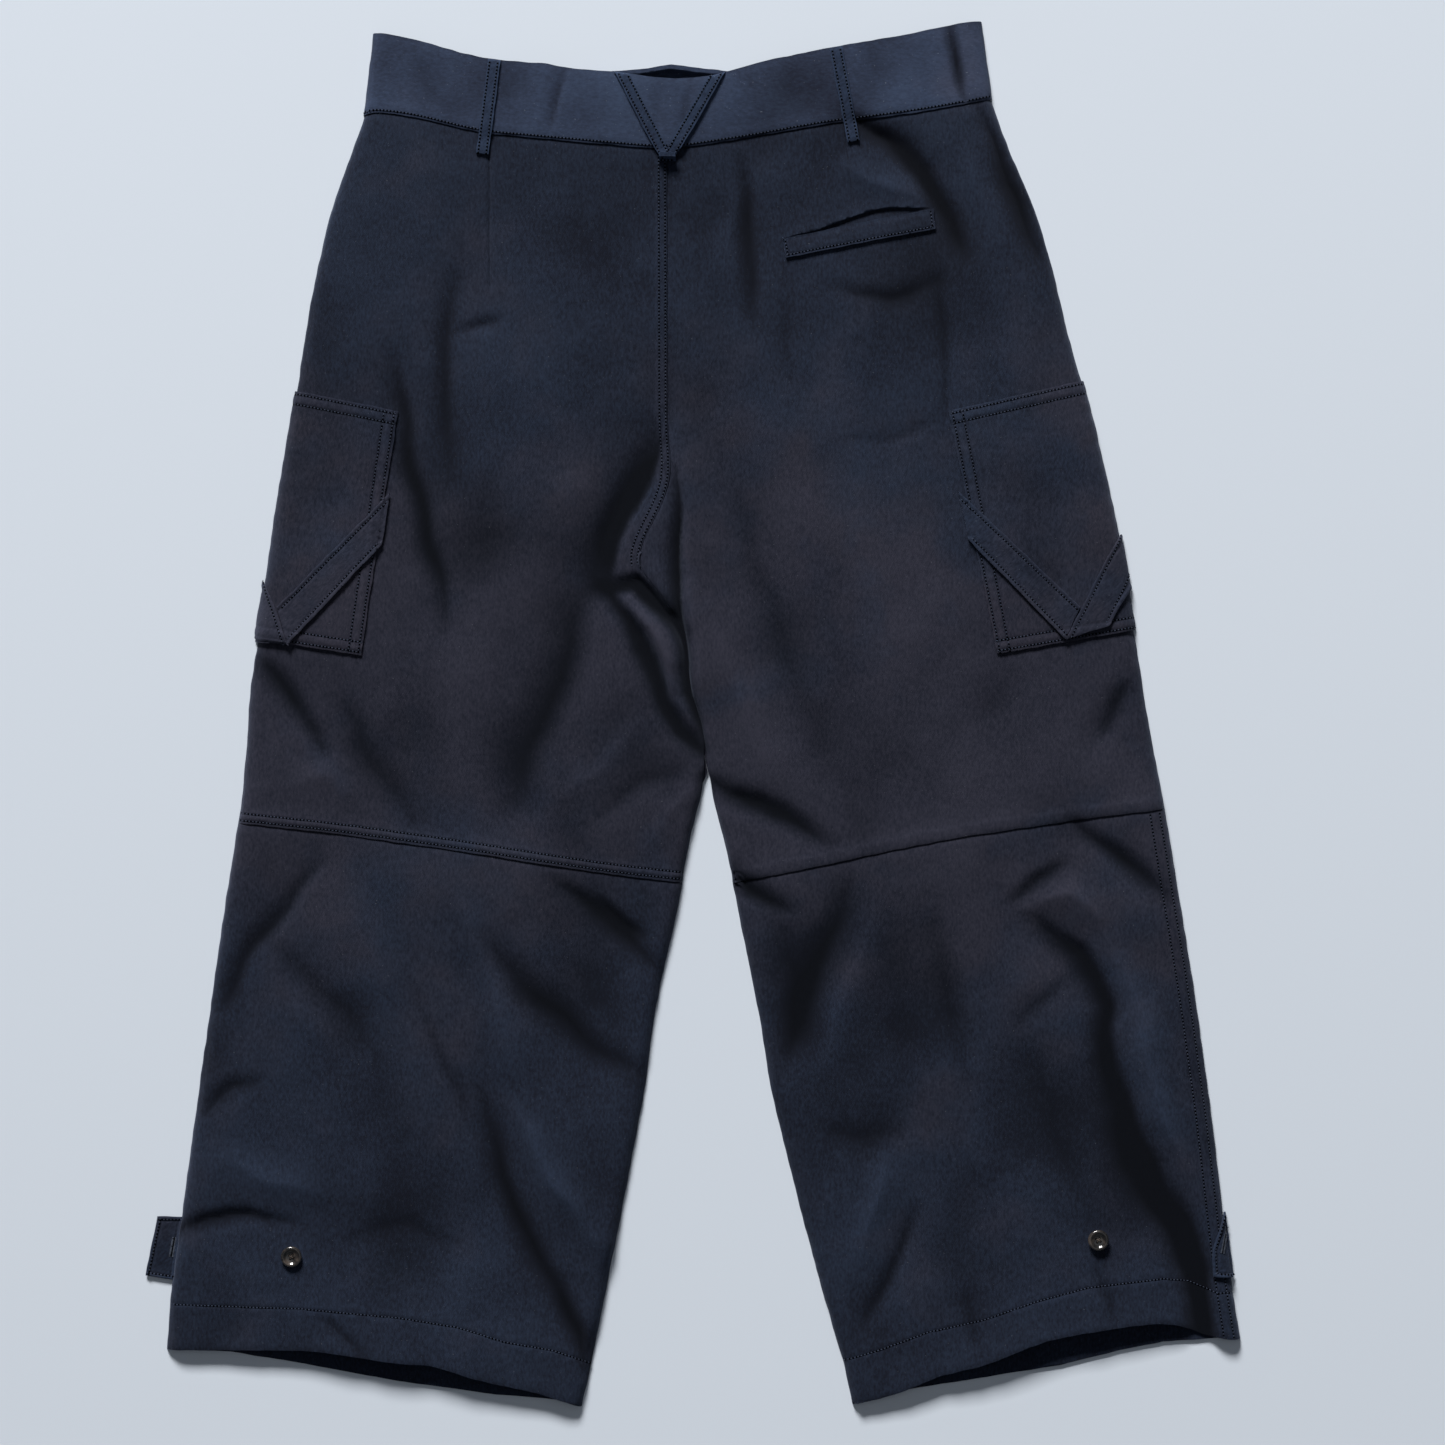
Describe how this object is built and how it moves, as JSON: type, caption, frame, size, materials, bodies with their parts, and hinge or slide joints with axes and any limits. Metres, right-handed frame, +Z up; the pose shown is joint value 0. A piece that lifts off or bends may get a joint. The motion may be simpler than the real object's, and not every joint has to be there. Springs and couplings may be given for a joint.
{
  "type": "cargo trousers laid flat",
  "caption": "Cropped wide-leg cargo trousers laid flat with the back upward, with a waistband, side pockets with crossed straps, a welt pocket and ankle tabs.",
  "frame": {"origin": "on the surface that the garment lies on, under the middle of its box", "axes": "+Z up from the surface, +Y from the hems to the waist, +X to the wearer's right; the garment's back faces up"},
  "size_m": [0.788, 0.9961, 0.0156],
  "materials": {
    "twill": "black-navy cotton twill, matt, with tonal topstitching",
    "button": "dark brown-black horn-look resin, glossy rim"
  },
  "bodies": {
    "root": {"back_left_upper": "twill", "back_left_lower": "twill", "back_right_upper": "twill", "back_right_lower": "twill", "front_left": "twill", "front_right": "twill", "waistband_back": "twill", "waistband_front_left": "twill", "waistband_front_right": "twill", "belt_loop_left": "twill", "belt_loop_right": "twill", "back_loop_strap_left": "twill", "back_loop_strap_right": "twill", "back_loop_end": "twill", "welt_right": "twill", "cargo_pocket_left": "twill", "cargo_pocket_right": "twill", "cargo_strap_left_upper": "twill", "cargo_strap_left_lower": "twill", "cargo_strap_right_upper": "twill", "cargo_strap_right_lower": "twill", "ankle_tab_left": "twill", "ankle_tab_right": "twill", "button_left": "button", "button_right": "button"}
  },
  "joints": []
}
